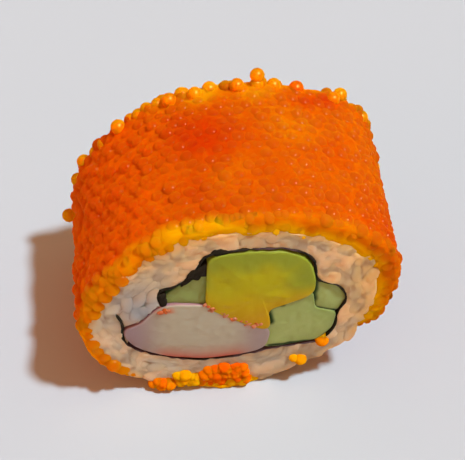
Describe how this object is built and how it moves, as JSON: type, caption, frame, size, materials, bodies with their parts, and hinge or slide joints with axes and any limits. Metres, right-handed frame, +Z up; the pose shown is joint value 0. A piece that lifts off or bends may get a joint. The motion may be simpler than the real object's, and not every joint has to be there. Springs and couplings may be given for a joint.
{
  "type": "uramaki roll",
  "caption": "Cut piece of inside-out sushi roll lying on its side: roe coat, rice ring, spiral nori sheet and strips of avocado, crab stick and cucumber.",
  "frame": {"origin": "middle of the piece's base: the middle of the bounding box in X and Y, on the surface it lies on", "axes": "+Z up; +Y along the roll's axis, away from the cut face that shows the filling to a viewer at -Y; +X to that viewer's right, along the section's wide way"},
  "size_m": [0.044, 0.029, 0.0331],
  "materials": {
    "roe": "wet, glossy orange fish roe",
    "rice": "moist cooked rice",
    "nori": "moist dark seaweed",
    "avocado": "smooth moist avocado flesh",
    "crab_stick": "moist fibrous crab stick",
    "cucumber": "wet cucumber flesh"
  },
  "bodies": {
    "root": {"roe_coat": "roe", "rice": "rice", "nori": "nori", "avocado": "avocado", "crab_stick": "crab_stick", "cucumber_left": "cucumber", "cucumber_right_top": "cucumber", "cucumber_right_bottom": "cucumber"}
  },
  "joints": []
}
